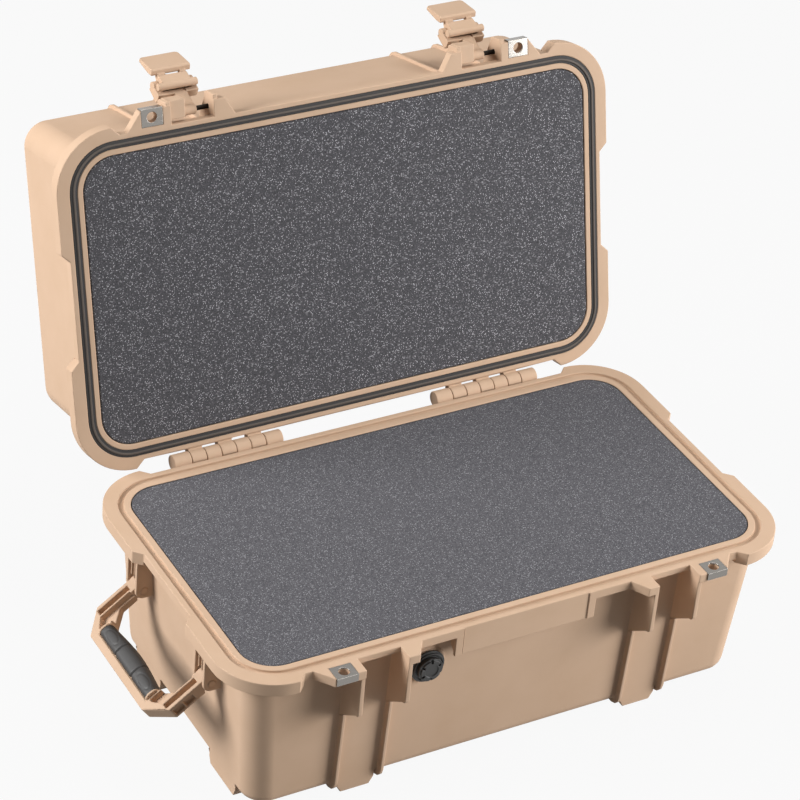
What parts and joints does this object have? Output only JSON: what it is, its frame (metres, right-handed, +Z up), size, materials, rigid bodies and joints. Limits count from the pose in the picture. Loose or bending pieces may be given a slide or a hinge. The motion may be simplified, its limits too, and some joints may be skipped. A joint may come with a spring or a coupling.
{
  "type": "hard equipment case",
  "caption": "Hard equipment case with a hinged deep lid, throw latches, padlock bosses, folding end handles, foam lining, rim seal and pressure valve.",
  "frame": {"origin": "on the floor under the middle of the base", "axes": "+X to the right along the case's width as seen from the front, +Y to the hinges, +Z up"},
  "size_m": [0.5521, 0.4981, 0.4614],
  "materials": {
    "tan_shell": "matte",
    "foam": "matte",
    "seal": "matte",
    "steel": "satin",
    "grip": "matte",
    "black_plastic": "satin"
  },
  "bodies": {
    "base": {"base_shell": "tan_shell", "base_foam_pad": "foam", "base_foam_lower": "foam", "base_foam_upper": "foam", "hinge_pin_left": "steel", "hinge_pin_right": "steel", "base_guard_left": "steel", "base_guard_right": "steel", "handle_pins_left": "steel", "handle_pins_right": "steel", "valve_body": "black_plastic", "valve_cap": "black_plastic", "valve_seal": "seal", "valve_nut": "black_plastic"},
    "lid": {"lid_shell": "tan_shell", "lid_gasket": "seal", "lid_foam": "foam", "lid_guard_left": "steel", "lid_guard_right": "steel", "latch_pin_left": "steel", "latch_pin_right": "steel"},
    "left_arm": {"latch_arm_left": "tan_shell", "lever_pin_left": "steel"},
    "right_arm": {"latch_arm_right": "tan_shell", "lever_pin_right": "steel"},
    "left_lever": {"latch_lever_left": "tan_shell"},
    "right_lever": {"latch_lever_right": "tan_shell"},
    "left_handle": {"handle_frame_left": "tan_shell", "handle_grip_left": "grip"},
    "right_handle": {"handle_frame_right": "tan_shell", "handle_grip_right": "grip"}
  },
  "joints": [
    {"name": "lid_hinge", "type": "hinge", "parent": "base", "child": "lid", "pos_m": [0, 0.1498, 0.1532], "axis": [1, 0, 0], "range_deg": [0, 104]},
    {"name": "left_arm_swing", "type": "hinge", "parent": "lid", "child": "left_arm", "pos_m": [-0.135, 0.23605, 0.43794], "axis": [1, 0, 0], "range_deg": [0, 145]},
    {"name": "right_arm_swing", "type": "hinge", "parent": "lid", "child": "right_arm", "pos_m": [0.135, 0.23605, 0.43794], "axis": [1, 0, 0], "range_deg": [0, 145]},
    {"name": "left_lever_turn", "type": "hinge", "parent": "left_arm", "child": "left_lever", "pos_m": [-0.135, 0.26436, 0.44763], "axis": [-1, 0, 0], "range_deg": [0, 35]},
    {"name": "right_lever_turn", "type": "hinge", "parent": "right_arm", "child": "right_lever", "pos_m": [0.135, 0.26436, 0.44763], "axis": [-1, 0, 0], "range_deg": [0, 35]},
    {"name": "left_handle_swing", "type": "hinge", "parent": "base", "child": "left_handle", "pos_m": [-0.2447, 0, 0.1075], "axis": [0, 1, 0], "range_deg": [-54, 56]},
    {"name": "right_handle_swing", "type": "hinge", "parent": "base", "child": "right_handle", "pos_m": [0.2447, 0, 0.1075], "axis": [0, -1, 0], "range_deg": [0, 110]}
  ]
}
